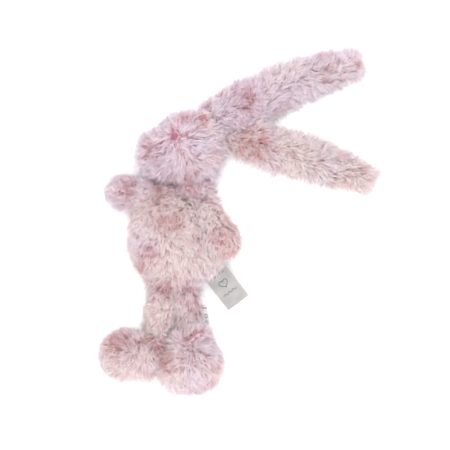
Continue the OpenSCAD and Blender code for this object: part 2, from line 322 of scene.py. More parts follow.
def wadding_fibre():
    """Loose white filling."""
    mat, nodes, links, surface = new_material("wadding_fibre")
    fluff = noise(nodes, links, object_place(nodes), 260, 8)
    colour_by(nodes, links, surface, fluff, [(0.3, paint(226, 222, 216)), (0.7, paint(250, 248, 244))])
    emboss(nodes, links, surface, fluff, 0.001)
    surface.inputs["Roughness"].default_value = 1.0
    return mat


def satin_thread(name, dark, pale, gloss):
    """Embroidery or sewing thread, with the sheen and the fine lay of its filaments."""
    mat, nodes, links, surface = new_material(name)
    grain = noise(nodes, links, object_place(nodes), 1800, 3)
    colour_by(nodes, links, surface, grain, [(0.3, dark), (0.7, pale)])
    emboss(nodes, links, surface, grain, 0.0001)
    surface.inputs["Roughness"].default_value = gloss
    surface.inputs["Sheen Weight"].default_value = 0.3
    return mat


def ribbon_satin(name, dark, pale, across, scale):
    """Woven ribbon: fine ribs across it and a few slubs along them."""
    mat, nodes, links, surface = new_material(name)
    turn = nodes.new("ShaderNodeMapping")
    turn.inputs["Rotation"].default_value = (0, 0, across)
    links.new(object_place(nodes), turn.inputs["Vector"])
    ribs = nodes.new("ShaderNodeTexWave")
    ribs.inputs["Scale"].default_value = scale
    ribs.inputs["Distortion"].default_value = 0.6
    links.new(turn.outputs["Vector"], ribs.inputs["Vector"])
    both = nodes.new("ShaderNodeMath"); both.operation = "MULTIPLY_ADD"
    both.inputs[1].default_value = 0.35
    links.new(ribs.outputs["Fac"], both.inputs[0])
    links.new(noise(nodes, links, turn.outputs["Vector"], 90, 4), both.inputs[2])
    colour_by(nodes, links, surface, both.outputs["Value"], [(0.35, dark), (0.95, pale)])
    emboss(nodes, links, surface, ribs.outputs["Fac"], 0.0001, 0.5)
    surface.inputs["Roughness"].default_value = 0.42
    surface.inputs["Sheen Weight"].default_value = 0.2
    return mat


pile_warm = plush_pile("pile_warm", paint(255, 247, 243), paint(252, 245, 251), 0.03)
pile_cool = plush_pile("pile_cool", paint(255, 246, 246), paint(250, 243, 253), -0.02)
backing = knitted_backing()
wadding = wadding_fibre()
magenta_thread = satin_thread("magenta_thread", paint(126, 56, 86), paint(164, 92, 122), 0.35)
dull_thread = satin_thread("dull_rose_thread", paint(126, 76, 90), paint(166, 116, 128), 0.4)
sewing_thread = satin_thread("sewing_thread", paint(206, 176, 180), paint(236, 214, 218), 0.6)
grey_print = satin_thread("grey_print_thread", paint(70, 68, 72), paint(96, 94, 98), 0.6)
dark_print = satin_thread("dark_print_thread", paint(64, 60, 66), paint(92, 88, 96), 0.6)
ribbon_grey = ribbon_satin("ribbon_grey", paint(138, 135, 133), paint(164, 161, 159),
                           math.radians(53), 260)
tape_white = ribbon_satin("tape_white", paint(222, 222, 222), paint(246, 246, 246),
                          math.radians(7), 300)


def coat(obj, mat):
    obj.data.materials.clear()
    obj.data.materials.append(mat)
    return obj


# ---------- the stuffed forms ----------

def egg(at, half, turn=0.0):
    """One egg of a stuffed form: its middle, half sizes in millimetres and turn about Z."""
    return {"at": Vector(at), "half": Vector(half) * MM, "turn": turn}


def row_of_eggs(line, widths, thick, first=0.0, last=0.0):
    """Eggs along a bent middle line, flat in Z, with half widths in millimetres."""
    steps = np.linspace(0, 1, len(widths))
    spans = [(b - a).length for a, b in zip(line, line[1:])]
    whole = sum(spans) - (first + last) * MM
    eggs = []
    for s, w in zip(steps, widths):
        d = first * MM + s * whole
        for a, b, span in zip(line, line[1:], spans):
            if d <= span + 1e-9 or b is line[-1]:
                break
            d -= span
        along = (b - a).normalized()
        at = a + along * min(d, span)
        t = thick if not isinstance(thick, list) else thick[0] + (thick[1] - thick[0]) * min(1, s * 3)
        eggs.append(egg(at, (w * 0.92, w, t), math.atan2(along.y, along.x)))
    return eggs


def inside(points, eggs, room=0.0):
    """Which points lie inside any of the eggs, grown by room in millimetres."""
    hit = np.zeros(len(points), bool)
    for e in eggs:
        q = points - np.array(e["at"])
        c, s = math.cos(e["turn"]), math.sin(e["turn"])
        q = np.stack([q[:, 0] * c + q[:, 1] * s, -q[:, 0] * s + q[:, 1] * c, q[:, 2]], 1)
        hit |= ((q / (np.array(e["half"]) + room * MM)) ** 2).sum(1) < 1
    return hit


def sewn_form(name, eggs, grain):
    """The skin over a group of eggs, as one closed even mesh."""
    parts = []
    for e in eggs:
        bpy.ops.object.select_all(action="DESELECT")
        bpy.ops.mesh.primitive_uv_sphere_add(segments=32, ring_count=18, radius=1,
                                             location=e["at"], rotation=(0, 0, e["turn"]),
                                             scale=e["half"])
        parts.append(bpy.context.object)
    skin = join_all(name, parts)
    reshape(skin, "even", "REMESH", mode="VOXEL", voxel_size=grain * MM)
    reshape(skin, "ease", "SMOOTH", factor=0.5, iterations=4)
    return skin


def rest_on_floor(skin, clear=1.2):
    """What would sink into the floor is pressed flat on it."""
    p = points_of(skin)
    p[:, 2] = np.maximum(p[:, 2], clear * MM)
    move_points(skin, p)


def press(skin, line, radius):
    """A limb that lies on the skin presses a hollow of its own radius into it."""
    p = points_of(skin)
    a, b = np.array(line[0]), np.array(line[1])
    t = np.clip(((p - a) @ (b - a)) / ((b - a) @ (b - a)), 0, 1)
    near = a + t[:, None] * (b - a)
    away = p - near
    dist = np.linalg.norm(away, axis=1)
    deep = dist < radius * MM
    p[deep] = near[deep] + unit(away[deep]) * radius * MM
    move_points(skin, p)


def add_stuffing(skins):
    """Fills the sewn skins. They swell a little everywhere but along their seams."""
    before = {}
    for skin, seam, swell in skins:
        p = points_of(skin)
        off = np.abs(seam(p))
        before[skin.name] = (p, np.clip(off / (7 * MM), 0, 1))
        held = skin.vertex_groups.new(name="seam")
        held.add([int(i) for i in np.nonzero(off < 2.5 * MM)[0]], 1.0, "REPLACE")
        only(skin)
        mod = skin.modifiers.new("stuffing", "CLOTH")
        mod.settings.quality = 5
        mod.settings.mass = 0.3
        mod.settings.use_pressure = True
        mod.settings.uniform_pressure_force = 4
        mod.settings.vertex_group_mass = "seam"
        mod.settings.effector_weights.gravity = 0
        mod.collision_settings.use_collision = False
        mod.point_cache.frame_start, mod.point_cache.frame_end = 1, 20
    for f in range(1, 21):
        bpy.context.scene.frame_set(f)
    for skin, seam, swell in skins:
        only(skin)
        bpy.ops.object.modifier_apply(modifier="stuffing")
        p, ease = before[skin.name]
        step = points_of(skin) - p
        far = np.linalg.norm(step, axis=1, keepdims=True)
        step *= np.minimum(1.0, (ease[:, None] * swell * MM + 0.0002) / np.maximum(far, 1e-9))
        move_points(skin, p + step)
        skin.vertex_groups.clear()
    bpy.context.scene.frame_set(1)
    for skin, seam, swell in skins:
        only(skin)
        reshape(skin, "fine", "SUBSURF", levels=1, render_levels=1)
        rest_on_floor(skin)


def cut_panels(skin, cuts):
    """Copies of the skin, each with only the faces of one panel. cuts gives each panel's test."""
    centres = np.empty(len(skin.data.polygons) * 3)
    skin.data.polygons.foreach_get("center", centres)
    centres = centres.reshape(-1, 3)
    made = []
    for name, test in cuts:
        keep = test(centres)
        only(skin)
        bpy.ops.object.duplicate()
        panel = bpy.context.object
        panel.name = name + "_cloth"
        panel.data.polygons.foreach_set("select", ~keep)
        panel.data.edges.foreach_set("select", np.zeros(len(panel.data.edges), bool))
        panel.data.vertices.foreach_set("select", np.zeros(len(panel.data.vertices), bool))
        bpy.ops.object.mode_set(mode="EDIT")
        bpy.ops.mesh.select_mode(type="FACE")
        bpy.ops.object.mode_set(mode="OBJECT")
        panel.data.polygons.foreach_set("select", ~keep)
        bpy.ops.object.mode_set(mode="EDIT")
        bpy.ops.mesh.delete(type="FACE")
        bpy.ops.object.mode_set(mode="OBJECT")
        made.append(panel)
    return made


def line_with_cloth(panel, thick=0.9):
    """Gives a panel the thickness of its knitted ground, inwards."""
    only(panel)
    bpy.ops.object.shade_smooth()
    reshape(panel, "ground", "SOLIDIFY", thickness=thick * MM, offset=-1)
    return coat(panel, backing)


def wadding_in(skin, name, gap, seed):
    """The loose filling inside a skin: the skin's form, smaller and lumpy."""
    only(skin)
    bpy.ops.object.duplicate()
    core = bpy.context.object
    core.name = name
    reshape(core, "even", "REMESH", mode="VOXEL", voxel_size=4.5 * MM)
    p, n = points_of(core), normals_of(core)
    lumps = np.sin(p[:, 0] * 410 + seed) * np.sin(p[:, 1] * 370 + 2 * seed) * np.sin(p[:, 2] * 430)
    move_points(core, p - n * ((gap + 0.7 * lumps) * MM)[:, None])
    only(core)
    bpy.ops.object.shade_smooth()
    coat(core, wadding)
    return core


# ---------- the pile ----------

# Where the pile is parted open and its roots are painted a darker rose, as painted shade in the creases, gaps
# and hollows: place and reach.
parted_shade_spots = [
    (neck_mid + mm(-26, 6, 0), 9), (neck_mid + mm(-10, 4, 0), 9), (neck_mid + mm(2, 2, 0), 7),
    (torso_mid + mm(-8, 42, 0), 11), (torso_mid + mm(2, 18, 0), 9), (torso_mid + mm(-8, 20, 0), 7),
    (torso_mid + mm(-20, -8, 0), 8), (torso_mid + mm(-27, -22, 0), 7), (torso_mid + mm(-8, -43, 0), 9),
    (torso_mid + mm(12, -42, 0), 8), (paw_left + mm(-6, 8, 0), 9), (paw_left + mm(-2, -6, 0), 7),
    (paw_right + mm(13, 2, 0), 9), (head_mid + mm(-27, -7, 0), 6), (head_mid + mm(2, -27, 0), 7),
    (pivot["ear_left_root"] + mm(10, 4, 0), 12), (pivot["ear_left_root"] + mm(26, -4, 0), 12),
    (pivot["ear_left_fold"] + mm(-14, 10, 0), 11), (pivot["ear_right_root"] + mm(22, 18, 0), 11),
    (toe_right + mm(-4, 14, 0), 11), (heel_right + mm(4, 2, 0), 8),
    (Vector((heel_right.x + 0.017, foot_left_mid.y + 0.010, 0)), 8),
]


def parted_shade_amount(p):
    """How far the pile is parted open and painted with shade at each point, from 0 to 1, seen in plan from
    above.
    """
    most = np.zeros(len(p))
    for at, reach in parted_shade_spots:
        d = np.hypot(p[:, 0] - at.x, p[:, 1] - at.y) / (reach * MM)
        most = np.maximum(most, np.exp(-d ** 2))
    return most * (p[:, 2] > 0.020)


def grow_pile(name, panel, flow, per_mm2=1.8, long=13.8, lift=0.32, stray=0.45, bare=None,
              mat=None, seed=1, width=0.2, tuft=2.8, gather=0.24, droop=0.22):
    """Long pile on one panel, in tufts: every strand is a closed, tapered, curved spike.

    flow gives the way that the pile is brushed at each point; lift is how far it stands up,
    stray how far the tufts stray from the brushed way, and bare says where no strand is rooted.
    """
    rng = np.random.default_rng(seed)
    mesh = panel.data
    mesh.calc_loop_triangles()
    tri = np.empty(len(mesh.loop_triangles) * 3, np.int64)
    mesh.loop_triangles.foreach_get("vertices", tri)
    tri = tri.reshape(-1, 3)
    co, no = points_of(panel), normals_of(panel)
    a, b, c = co[tri[:, 0]], co[tri[:, 1]], co[tri[:, 2]]
    area = np.linalg.norm(np.cross(b - a, c - a), axis=1) / 2

    def scatter(count):
        pick = rng.choice(len(tri), size=count, p=area / area.sum())
        u, v = rng.random(count), rng.random(count)
        over = u + v > 1
        u[over], v[over] = 1 - u[over], 1 - v[over]
        w = np.stack([1 - u - v, u, v], 1)[:, :, None]
        return (co[tri[pick]] * w).sum(1), unit((no[tri[pick]] * w).sum(1))

    size = area.sum() / MM ** 2
    root, out = scatter(max(50, int(size * per_mm2)))
    if bare is not None:
        keep = ~bare(root)
        root, out = root[keep], out[keep]
    under = (out[:, 2] < -0.75) & (root[:, 2] < 3 * MM) & (rng.random(len(root)) < 0.5)
    root, out = root[~under], out[~under]
    mid, mid_out = scatter(max(12, int(size / tuft ** 2)))

    def brushed(p, n):
        f = unit(flow(p))
        f = unit(f - n * (f * n).sum(1, keepdims=True))
        swirl = 0.55 * np.sin(p[:, 0] * 145 + 1.3) * np.cos(p[:, 1] * 123 + 0.7 + p[:, 2] * 90)
        swirl += 0.45 * np.sin(p[:, 0] * 61 + p[:, 1] * 47 + 2.1)
        return f, swirl

    f, swirl = brushed(mid, mid_out)
    turn = swirl + rng.normal(0, stray, len(mid)) * (1 + 0.8 * parted_shade_amount(mid))
    side = np.cross(mid_out, f)
    f = f * np.cos(turn)[:, None] + side * np.sin(turn)[:, None]
    stand = lift * np.exp(rng.normal(0, 0.22, len(mid)))
    reach = long * MM * np.clip(rng.normal(1, 0.16, len(mid)), 0.6, 1.4) * (1 - 0.22 * parted_shade_amount(mid))
    lean = unit(mid_out * stand[:, None] + f * (1 - np.minimum(stand, 0.9))[:, None])

    near = np.empty(len(root), np.int64)
    for i in range(0, len(root), 2000):
        d = ((root[i:i + 2000, None, :] - mid[None]) ** 2).sum(2)
        near[i:i + 2000] = d.argmin(1)
    own = reach[near] * np.clip(rng.normal(1, 0.14, len(root)), 0.55, 1.35)
    loose = rng.random(len(root)) < 0.22
    own[loose] *= 1.06
    way = unit(lean[near] + rng.normal(0, 0.24, root.shape) * (1 + 0.9 * loose)[:, None])
    tip = root + way * own[:, None]
    meet = mid[near] + lean[near] * (reach[near] * 1.02)[:, None]
    pull = gather * rng.uniform(0.35, 1.1, len(root)) * ~loose * (1 - 0.8 * parted_shade_amount(mid))[near]
    tip = tip + (meet - tip) * pull[:, None]
    flat = 1 - np.clip(out[:, 2], 0, 1)
    tip[:, 2] -= droop * own * flat
    knee = root + out * (own * 0.38)[:, None] + way * (own * 0.26)[:, None]
    root = root - out * (0.6 * MM)

    half_way = 0.52
    steps = np.array([0.0, half_way])
    fat = np.array([1.0, 0.8]) * width * MM
    across = unit(np.cross(tip - root, rng.normal(0, 1, root.shape)))
    other = unit(np.cross(tip - root, across))
    n = len(root)
    verts = np.empty((n, 7, 3))
    for k, (t, r) in enumerate(zip(steps, fat)):
        line = root * (1 - t) ** 2 + knee * 2 * t * (1 - t) + tip * t * t
        for j in range(3):
            ang = 2 * math.pi * j / 3
            verts[:, 3 * k + j] = line + (across * math.cos(ang) + other * math.sin(ang)) * r
    verts[:, 6] = tip
    layer_height = (0.35 + 1.3 * rng.random(n)) * MM
    verts[:, :, 2] = np.maximum(verts[:, :, 2], layer_height[:, None])
    # Hairs that stand above the crest are pressed down towards it.
    crest = cad_box[1].z + 5 * MM
    above = np.maximum(verts[:, :, 2] - crest, 0)
    verts[:, :, 2] = np.minimum(verts[:, :, 2], crest + 0.35 * above)

    corner = []
    cell = []
    for j in range(3):
        k = (j + 1) % 3
        corner += [j, k, 3 + k, 3 + j]
        x0, x1 = 0.05 + 0.3 * j, 0.05 + 0.3 * (j + 1)
        cell += [(x0, 0.14), (x1, 0.14), (x1, 0.56), (x0, 0.56)]
    for j in range(3):
        k = (j + 1) % 3
        corner += [3 + j, 3 + k, 6]
        x0, x1 = 0.05 + 0.3 * j, 0.05 + 0.3 * (j + 1)
        cell += [(x0, 0.56), (x1, 0.56), ((x0 + x1) / 2, 0.94)]
    corner += [2, 1, 0]
    cell += [(0.05, 0.03), (0.9, 0.03), (0.5, 0.11)]
    counts = np.array([4] * 3 + [3] * 4)
    loops_each = len(corner)

    made = bpy.data.meshes.new(name)
    made.vertices.add(n * 7)
    made.vertices.foreach_set("co", verts.astype(np.float32).ravel())
    made.loops.add(n * loops_each)
    index = (np.arange(n)[:, None] * 7 + np.array(corner)[None]).ravel()
    made.loops.foreach_set("vertex_index", index.astype(np.int32))
    made.polygons.add(n * 7)
    total = np.tile(counts, n)
    start = np.concatenate([[0], np.cumsum(total)[:-1]])
    made.polygons.foreach_set("loop_start", start.astype(np.int32))
    made.polygons.foreach_set("loop_total", total.astype(np.int32))
    made.update(calc_edges=True)
    made.polygons.foreach_set("use_smooth", np.ones(n * 7, bool))

    grid = math.ceil(math.sqrt(n))
    uv = np.array(cell)[None] + np.stack([np.arange(n) % grid, np.arange(n) // grid], 1)[:, None]
    uv = uv / np.array([grid, math.ceil(n / grid)])
    layer = made.uv_layers.new(name="OFBake")
    layer.data.foreach_set("uv", uv.astype(np.float32).ravel())
    along = made.attributes.new("along", "FLOAT", "POINT")
    t_each = np.array([0, 0, 0, half_way, half_way, half_way, 1.0])
    # Painted light: strands rooted near the floor are moved towards the pale tip colour, so that the lower
    # parts are drawn lighter.
    painted_low_light = np.clip(1 - root[:, 2] / (20 * MM), 0, 1)
    t_all = np.clip(t_each[None] + 0.45 * painted_low_light[:, None], 0, 1)
    along.data.foreach_set("value", t_all.ravel().astype(np.float32))
    lock = made.attributes.new("lock", "FLOAT", "POINT")
    mood = rng.random(len(mid))
    per = np.clip(0.6 * mood[near] + 0.4 * rng.random(n), 0, 1)
    lock.data.foreach_set("value", np.repeat(per, 7).astype(np.float32))

    # Painted shade: strands near the listed spots get a value that darkens their colour towards rose.
    parting_shade = made.attributes.new("parting_shade", "FLOAT", "POINT")
    streaks = np.where(rng.random(len(mid)) < 0.42, 1.25, 0.4)
    parting_shade_now = np.clip(parted_shade_amount(root) * streaks[near], 0, 1)
    parting_shade.data.foreach_set("value", np.repeat(parting_shade_now, 7).astype(np.float32))

    pile = bpy.data.objects.new(name, made)
    bpy.context.scene.collection.objects.link(pile)
    return coat(pile, mat or pile_warm)


# ---------- the forms of this rabbit ----------

torso_eggs = [
    egg(torso_mid + mm(0.8, -0.5, 1), (40, 43, 30.5)),
    egg(torso_mid + mm(21, -13, -2), (24, 23, 24)),
    egg(torso_mid + mm(-8.4, -37, -8), (13.6, 13.5, 17)),
    egg(torso_mid + mm(10, -36, -8), (11.5, 13, 17)),
    egg(torso_mid + mm(-19, 32, -7), (17.5, 15, 16)),
    egg(torso_mid + mm(-8, 44, -4), (14, 10, 15)),
]
head_eggs = [
    egg(head_mid + mm(3.4, -2.4, 0), (29, 32.4, 30.5)),
    egg(head_mid + mm(-12.4, 0.2, 0), (18.8, 17.4, 26)),
    egg(head_mid + mm(-23, -18, -6), (14, 15, 20)),
    egg(nose_mid + mm(2.2, -4.4, -8), (6.5, 6.5, 8.5)),
    egg(eye_right_mid + mm(0, -2.3, -7), (6.5, 6, 7.5)),
]
muzzle_eggs = [egg(muzzle_mid, (13.5, 16, 16))]
neck_eggs = [egg(neck_mid + mm(4, 0, 0), (19.5, 14, 15))]
ear_right_eggs = row_of_eggs(ear_right_line, [15, 18, 19, 19.4, 19.4, 18.8, 17.6, 16.4, 14.6, 12.5],
                             [9.0, 7.2], 0, 13)
ear_left_eggs = row_of_eggs(ear_left_line, [8.5, 10.8, 14.8, 18, 18.6, 17.8, 16.6, 15, 12.8, 10.5],
                            [9.0, 7.2], 0, 10)
ear_left_eggs.append(egg(ear_left_line[0] + mm(26, 6, -4), (15, 12, 8.5)))


def limb_eggs(line, radii):
    """Round eggs along a straight limb."""
    steps = np.linspace(0, 1, len(radii))
    return [egg(line[0].lerp(line[1], s), (r, r, r)) for s, r in zip(steps, radii)]


arm_right_line = (pivot["shoulder_right"], paw_right)
arm_left_line = (pivot["shoulder_left"], paw_left)
leg_right_line = (pivot["hip_right"], pivot["ankle_right"])
leg_left_line = (pivot["hip_left"], pivot["ankle_left"])
arm_right_eggs = limb_eggs([p + mm(3.2, 0.3, 0) for p in arm_right_line], [14, 13.2, 12.8, 13])
arm_left_eggs = limb_eggs([p + mm(-4.8, -0.6, 0) for p in arm_left_line], [11, 10.2, 11.4, 12.8])
leg_right_eggs = limb_eggs([p + mm(3, 0, 0) for p in leg_right_line], [11.5, 11.4, 11.4, 12, 11.6])
leg_left_eggs = limb_eggs([p + mm(-2, 0, 0) for p in leg_left_line], [10.4, 9.6, 10, 11.4, 12.4])
foot_right_eggs = [egg(heel_right, (12.5, 12.5, 14)),
                   egg(heel_right + mm(4, -4, 1), (12, 14, 14)),
                   egg(heel_right.lerp(toe_right, 0.5) + mm(3, -9, 0), (15, 14.5, 17.5)),
                   egg(toe_right + mm(-0.6, 0.8, 0), (19.8, 19.6, 21.5))]
foot_left_eggs = [egg(foot_left_mid + mm(-0.8, 2, 0), (26, 20.5, 27)),
                  egg(foot_left_mid + mm(1.5, 5, -8), (23, 21, 19)),
                  egg(foot_left_mid + mm(-12, -3, -8), (16, 16, 16)),
                  egg(foot_left_mid + mm(5, 28, -8), (11.5, 12, 13)),
                  egg(foot_left_mid + mm(-10, 23, -8), (12, 12, 15))]

grain = 4.5
torso_skin = sewn_form("torso_skin", torso_eggs, grain)
press(torso_skin, arm_left_line, 14.5)
press(torso_skin, arm_right_line, 13.5)
head_skin = sewn_form("head_skin", head_eggs, grain)
muzzle_skin = sewn_form("muzzle_skin", muzzle_eggs, 3.5)
neck_skin = sewn_form("neck_skin", neck_eggs, 3.5)
ear_right_skin = sewn_form("ear_right_skin", ear_right_eggs, 3.6)
ear_left_skin = sewn_form("ear_left_skin", ear_left_eggs, 3.6)
arm_right_skin = sewn_form("arm_right_skin", arm_right_eggs, 3.5)
arm_left_skin = sewn_form("arm_left_skin", arm_left_eggs, 3.5)
leg_right_skin = sewn_form("leg_right_skin", leg_right_eggs, 3.5)
leg_left_skin = sewn_form("leg_left_skin", leg_left_eggs, 3.5)
foot_right_skin = sewn_form("foot_right_skin", foot_right_eggs, 4)
foot_left_skin = sewn_form("foot_left_skin", foot_left_eggs, 4)


def level_of(line):
    """The height of a bent middle line above each point, for the side seams of a limb or ear."""
    pts = [np.array(p) for p in line]

    def at(p):
        best = np.full(len(p), 1e9)
        z = np.zeros(len(p))
        for a, b in zip(pts, pts[1:]):
            ab = (b - a)[:2]
            t = np.clip(((p[:, :2] - a[:2]) @ ab) / (ab @ ab), 0, 1)
            d = np.linalg.norm(p[:, :2] - a[:2] - t[:, None] * ab, axis=1)
            z = np.where(d < best, a[2] + t * (b[2] - a[2]), z)
            best = np.minimum(best, d)
        return z
    return at


def over_line(line):
    level = level_of(line)
    return lambda p: p[:, 2] - level(p)


def torso_seam(p):
    side = np.abs(p[:, 2] - torso_mid.z)
    front = np.where(p[:, 2] > torso_mid.z, np.abs(p[:, 0] - torso_mid.x), 1)
    return np.minimum(side, front)


def across_face(p):
    return (p - np.array(head_mid)) @ np.array(face_across)


gusset_half = 0.012


def head_seam(p):
    return np.minimum(np.abs(across_face(p) - gusset_half), np.abs(across_face(p) + gusset_half))


along_foot = (toe_right - heel_right).normalized()
foot_side = Vector((-along_foot.y, along_foot.x, 0)).normalized()


def foot_right_across(p):
    return (p - np.array(heel_right)) @ np.array(foot_side)


def foot_left_across(p):
    return p[:, 1] - foot_left_mid.y


add_stuffing([
    (torso_skin, torso_seam, 2.6),
    (head_skin, head_seam, 2.0),
    (muzzle_skin, lambda p: p[:, 0] - muzzle_mid.x - 0.010, 1.0),
    (neck_skin, lambda p: np.abs(p[:, 1] - neck_mid.y) + 0.004, 0.6),
    (ear_right_skin, over_line(ear_right_line), 1.2),
    (ear_left_skin, over_line(ear_left_line), 1.2),
    (arm_right_skin, over_line(arm_right_line), 1.2),
    (arm_left_skin, over_line(arm_left_line), 1.2),
    (leg_right_skin, over_line(leg_right_line), 1.2),
    (leg_left_skin, over_line(leg_left_line), 1.2),
    (foot_right_skin, foot_right_across, 1.6),
    (foot_left_skin, foot_left_across, 1.6),
])


def on_face(mark, shift):
    """Where an embroidered mark lies on the sewn head, and which way it faces there."""
    above = Vector((mark.x, mark.y, 0.2)) + mm(*shift, 0)
    best = None
    for skin in (head_skin, muzzle_skin):
        hit, at, out, _ = skin.ray_cast(above, (0, 0, -1))
        if hit and (best is None or at.z > best[0].z):
            best = (at.copy(), out.copy())
    return best


bpy.context.view_layer.update()
nose_spot, nose_out = on_face(nose_mid, (2.2, -4.4))
eye_right_spot, eye_right_out = on_face(eye_right_mid, (0, -2.3))
eye_left_spot, eye_left_out = on_face(eye_left_mid, (3, -2))


# ---------- which way the pile is brushed ----------

def away_from(at, pull=(0, 0, 0)):
    at, pull = np.array(at), np.array(pull, float)
    return lambda p: unit(p - at) + pull


def along_line(line, spread=0.35):
    """Brushed from root to tip, fanning out a little to both edges."""
    pts = [np.array(p) for p in line]

    def way(p):
        best = np.full(len(p), 1e9)
        out = np.zeros_like(p)
        for a, b in zip(pts, pts[1:]):
            ab = b - a
            t = np.clip(((p - a) @ ab) / (ab @ ab), 0, 1)
            near = a + t[:, None] * ab
            d = np.linalg.norm(p - near, axis=1)
            w = unit(ab[None]) + spread * unit(p - near)
            out = np.where((d < best)[:, None], w, out)
            best = np.minimum(best, d)
        return out
    return way


torso_flow = away_from(torso_mid + mm(6, 62, 6), (-0.1, -0.2, 0))
head_flow = away_from(nose_spot + mm(0, 0, -2), (0.1, 0, 0))


def near_any(*spots):
    """Bare where a point lies within a reach, in millimetres, of one of the spots."""
    def bare(p):
        hit = np.zeros(len(p), bool)
        for at, reach in spots:
            hit |= np.linalg.norm(p - np.array(at), axis=1) < reach * MM
        return hit
    return bare


def joined_at(at, reach, eggs):
    """Bare where a limb's root is inside the form that it is sewn to."""
    return lambda p: (np.linalg.norm(p - np.array(at), axis=1) < reach * MM) & inside(p, eggs, -1)


def either(*tests):
    return lambda p: np.logical_or.reduce([t(p) for t in tests])


# ---------- dressing each form ----------

def dress(body, skin, cuts, flow, filling=None, filling_name=None, fill=0.7, across=None,
          bare=None, mat=None, seed=1, **pile):
    """Cuts a skin into its panels, lines and furs each, and hangs them on their body; pieces that reach across
    a joint are left in place, on no body.
    """
    panels = cut_panels(skin, [(c[0], c[1]) for c in cuts])
    if filling_name:
        core = wadding_in(skin, filling_name, 2.6, seed)
        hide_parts(*filling)
        hang(core, body, across)
    for i, (cut, panel) in enumerate(zip(cuts, panels)):
        name, nodes = cut[0], cut[2]
        fur = grow_pile(name + "_pile", panel, flow, bare=bare, mat=mat, seed=seed * 10 + i, **pile)
        line_with_cloth(panel)
        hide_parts(*nodes)
        for piece in (panel, fur):
            hang(piece, body, across)
    bpy.data.objects.remove(skin)


def hang(piece, body, across):
    if across:
        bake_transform(piece)
    else:
        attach(piece, body)


torso_bare = near_any((neck_mid + mm(2, 0, 0), 9), (pivot["hip_left"], 9), (pivot["hip_right"], 9),
                      (pivot["shoulder_left"], 8), (pivot["shoulder_right"], 8))
dress("torso", torso_skin, [
    ("torso_front_left", lambda p: (p[:, 2] > torso_mid.z) & (p[:, 0] > torso_mid.x),
     ["torso_front_left"]),
    ("torso_front_right", lambda p: (p[:, 2] > torso_mid.z) & (p[:, 0] <= torso_mid.x),
     ["torso_front_right"]),
    ("torso_back", lambda p: p[:, 2] <= torso_mid.z, ["torso_back"]),
], torso_flow, ["torso_stuffing"], "torso_wadding", 0.8, bare=torso_bare, mat=pile_warm, seed=2)

to_eye = (eye_right_spot - nose_spot).normalized() * 6 * MM
face_bare = near_any((nose_spot, 2.5), (eye_right_spot, 4.6), (eye_right_spot - to_eye, 4.4),
                     (eye_left_spot, 2.6))
head_bare = either(face_bare, lambda p: inside(p, muzzle_eggs, -1.5), near_any((neck_mid, 9),
                   (pivot["ear_left_root"], 8), (pivot["ear_right_root"], 8)))
dress("head", head_skin, [
    ("head_crown_gusset", lambda p: np.abs(across_face(p)) < gusset_half, ["head_crown_gusset"]),
    ("head_side_left", lambda p: across_face(p) <= -gusset_half, ["head_side_left"]),
    ("head_side_right", lambda p: across_face(p) >= gusset_half, ["head_side_right"]),
], head_flow, ["head_stuffing"], "head_wadding", 0.85, bare=head_bare, mat=pile_cool, seed=3)
dress("head", muzzle_skin, [("muzzle_panel", lambda p: p[:, 0] < 1, ["muzzle_panel"])],
      head_flow, ["muzzle_stuffing"], "muzzle_wadding", 0.85,
      bare=either(face_bare, lambda p: inside(p, head_eggs, -1.5)), mat=pile_cool, seed=4)
neck_across = ("torso", "head", neck_mid + mm(0, -9, 0), neck_mid + mm(0, 9, 0))
dress("head", neck_skin, [("neck_collar", lambda p: p[:, 0] < 1, ["neck_collar"])],
      away_from(neck_mid, (0, -0.8, 0)), ["neck_stuffing"], "neck_wadding", 0.7, neck_across,
      bare=lambda p: inside(p, torso_eggs + head_eggs, -2), mat=pile_warm, seed=5, long=8)

for side, line, skin, eggs, mat, seed in (
        ("right", ear_right_line, ear_right_skin, ear_right_eggs, pile_cool, 6),
        ("left", ear_left_line, ear_left_skin, ear_left_eggs, pile_warm, 7)):
    over = over_line(line)
    fold = line[1]
    start = fold - (line[1] - line[0]).normalized() * 0.016
    end = fold + (line[2] - line[1]).normalized() * 0.016
    dress(f"ear_{side}_base", skin, [
        (f"ear_{side}_front", lambda p: over(p) > 0,
         [f"ear_{side}_base_front", f"ear_{side}_tip_front"]),
        (f"ear_{side}_back", lambda p: over(p) <= 0,
         [f"ear_{side}_base_back", f"ear_{side}_tip_back"]),
    ], along_line(line, 0.85), fill=0.35, across=(f"ear_{side}_base", f"ear_{side}_tip", start, end),
        bare=either(joined_at(line[0], 16, head_eggs), near_any((eye_right_spot, 13))),
        mat=mat, seed=seed, long=14, droop=0.15)

for side, line, skin, mat, seed in (
        ("right", arm_right_line, arm_right_skin, pile_cool, 8),
        ("left", arm_left_line, arm_left_skin, pile_warm, 9)):
    over = over_line(line)
    dress(f"arm_{side}", skin, [
        (f"arm_{side}_outer", lambda p: over(p) > 0, [f"arm_{side}_outer"]),
        (f"arm_{side}_inner", lambda p: over(p) <= 0, [f"arm_{side}_inner"]),
    ], along_line(line, 0.55), [f"arm_{side}_stuffing"], f"arm_{side}_wadding", 0.7,
        bare=joined_at(line[0], 15, torso_eggs), mat=mat, seed=seed, long=12.5)

